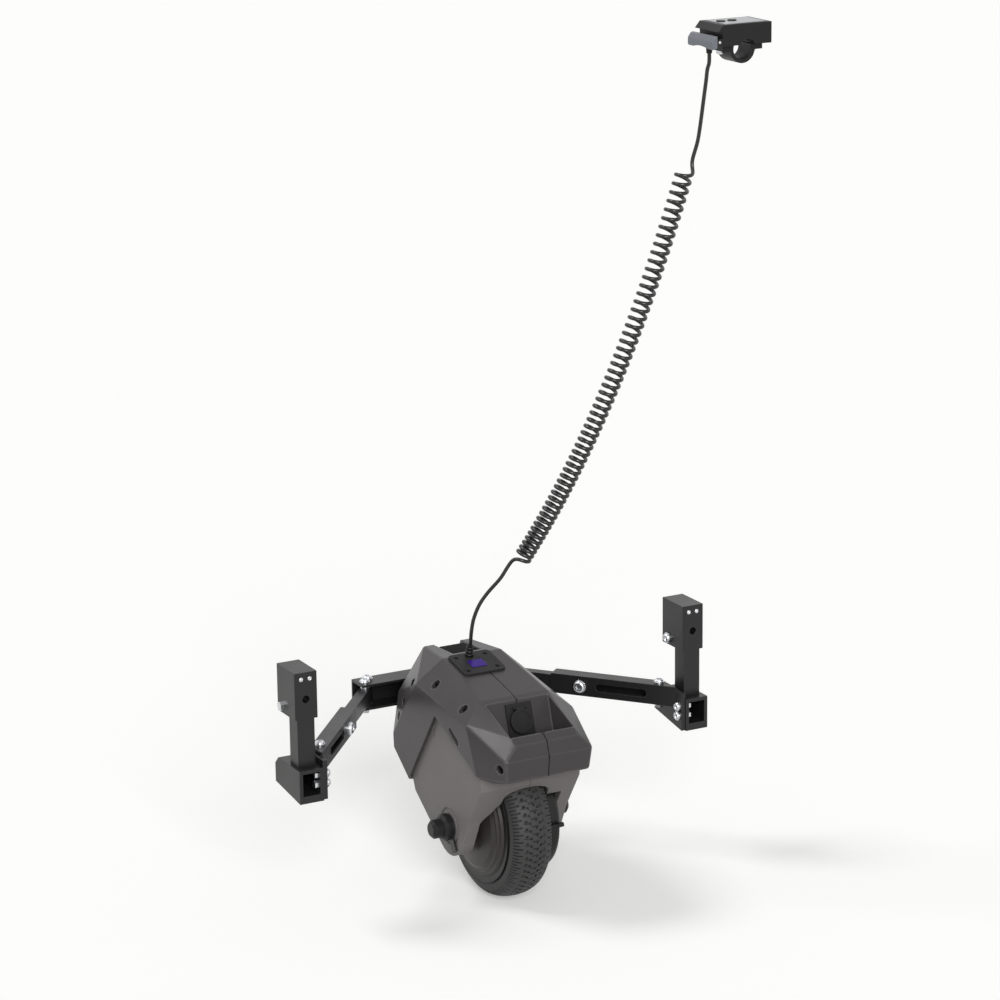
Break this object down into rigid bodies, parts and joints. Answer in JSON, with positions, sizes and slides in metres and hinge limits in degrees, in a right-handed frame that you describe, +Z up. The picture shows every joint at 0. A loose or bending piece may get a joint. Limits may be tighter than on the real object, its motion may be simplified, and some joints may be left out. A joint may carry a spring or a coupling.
{
  "type": "wheelchair power assist",
  "caption": "Hub-motor push aid in a grey carry housing that hangs from a crossbar under a wheelchair, with frame hangers, curly lead and handle-clamped thumb control.",
  "frame": {"origin": "midway between the two frame bolt holes of the hangers, straight above the wheel's axle", "axes": "+X to the chair's right, +Y forward along the frame bolts, +Z up"},
  "size_m": [0.511, 0.3325, 0.9653],
  "materials": {
    "black_powder_coat": "satin",
    "zinc_steel": "satin",
    "cover_plastic": "satin",
    "fork_plastic": "satin",
    "black_plastic": "satin",
    "cord_sheath": "satin",
    "tyre_rubber": "matte",
    "hub_charcoal": "satin",
    "panel_foil": "satin",
    "lever_plastic": "satin",
    "window_lens": "gloss",
    "board_green": "satin",
    "battery_wrap": "gloss",
    "copper_winding": "satin"
  },
  "bodies": {
    "frame": {"cross_channel": "black_powder_coat", "dock_pin": "zinc_steel", "channel_bolts": "zinc_steel", "left_arm_bar": "black_powder_coat", "right_arm_bar": "black_powder_coat", "left_arm_sleeve": "black_powder_coat", "right_arm_sleeve": "black_powder_coat", "arm_clamp_bolts": "zinc_steel", "left_lower_bracket": "black_powder_coat", "right_lower_bracket": "black_powder_coat", "bracket_bolts": "zinc_steel", "left_drop_tube": "black_powder_coat", "right_drop_tube": "black_powder_coat", "left_frame_block": "black_powder_coat", "right_frame_block": "black_powder_coat", "block_bolts": "zinc_steel", "set_screws": "zinc_steel", "control_base": "black_plastic", "control_lid": "black_plastic", "control_panel": "panel_foil", "control_board": "board_green", "clamp_strap": "black_plastic", "clamp_screws": "zinc_steel", "lever_pin": "zinc_steel", "cable_gland": "black_plastic", "upper_lead": "cord_sheath", "coil_cord": "cord_sheath", "lower_lead": "cord_sheath"},
    "drive_unit": {"left_cover": "cover_plastic", "right_cover": "cover_plastic", "cover_screws": "black_plastic", "left_fork": "fork_plastic", "right_fork": "fork_plastic", "top_plate": "cover_plastic", "plate_screws": "black_plastic", "status_window": "window_lens", "cable_boot": "black_plastic", "charge_socket": "black_plastic", "battery_pack": "battery_wrap", "motor_controller": "board_green", "dock_tongue": "black_powder_coat", "axle": "zinc_steel", "stator": "copper_winding", "left_torque_washer": "black_powder_coat", "right_torque_washer": "black_powder_coat", "left_axle_cap": "black_plastic", "right_axle_cap": "black_plastic"},
    "drive_wheel": {"tyre": "tyre_rubber", "hub_drum": "hub_charcoal", "left_hub_cover": "hub_charcoal", "right_hub_cover": "hub_charcoal", "wheel_bearings": "zinc_steel", "tyre_valve": "black_plastic"},
    "thumb_lever": {"thumb_lever": "lever_plastic"},
    "power_key": {"power_key": "black_plastic"},
    "mode_key": {"mode_key": "black_plastic"},
    "socket_lid": {"socket_lid": "black_plastic"}
  },
  "joints": [
    {"name": "unit_pivot", "type": "hinge", "parent": "frame", "child": "drive_unit", "pos_m": [0, 0.171, -0.076], "axis": [-1, 0, 0], "range_deg": [-8, 14], "deforming": ["lower_lead"]},
    {"name": "wheel_spin", "type": "hinge", "parent": "drive_unit", "child": "drive_wheel", "pos_m": [0, 0, -0.182], "axis": [-1, 0, 0], "continuous": true},
    {"name": "thumb_press", "type": "hinge", "parent": "frame", "child": "thumb_lever", "pos_m": [0.1915, -0.123, 0.676], "axis": [0, -1, 0], "range_deg": [0, 16], "stiffness_Nm_per_rad": 0.3, "springref_deg": -5.73},
    {"name": "power_press", "type": "slide", "parent": "frame", "child": "power_key", "axis": [0, 0, -1], "range_m": [0, 0.0007], "stiffness_N_per_m": 600, "springref_m": -0.0005},
    {"name": "mode_press", "type": "slide", "parent": "frame", "child": "mode_key", "axis": [0, 0, -1], "range_m": [0, 0.0007], "stiffness_N_per_m": 600, "springref_m": -0.0005},
    {"name": "lid_hinge", "type": "hinge", "parent": "drive_unit", "child": "socket_lid", "pos_m": [0, -0.05194, -0.0403], "axis": [-1, 0, 0], "range_deg": [0, 80], "stiffness_Nm_per_rad": 0.02, "springref_deg": -11.46}
  ]
}
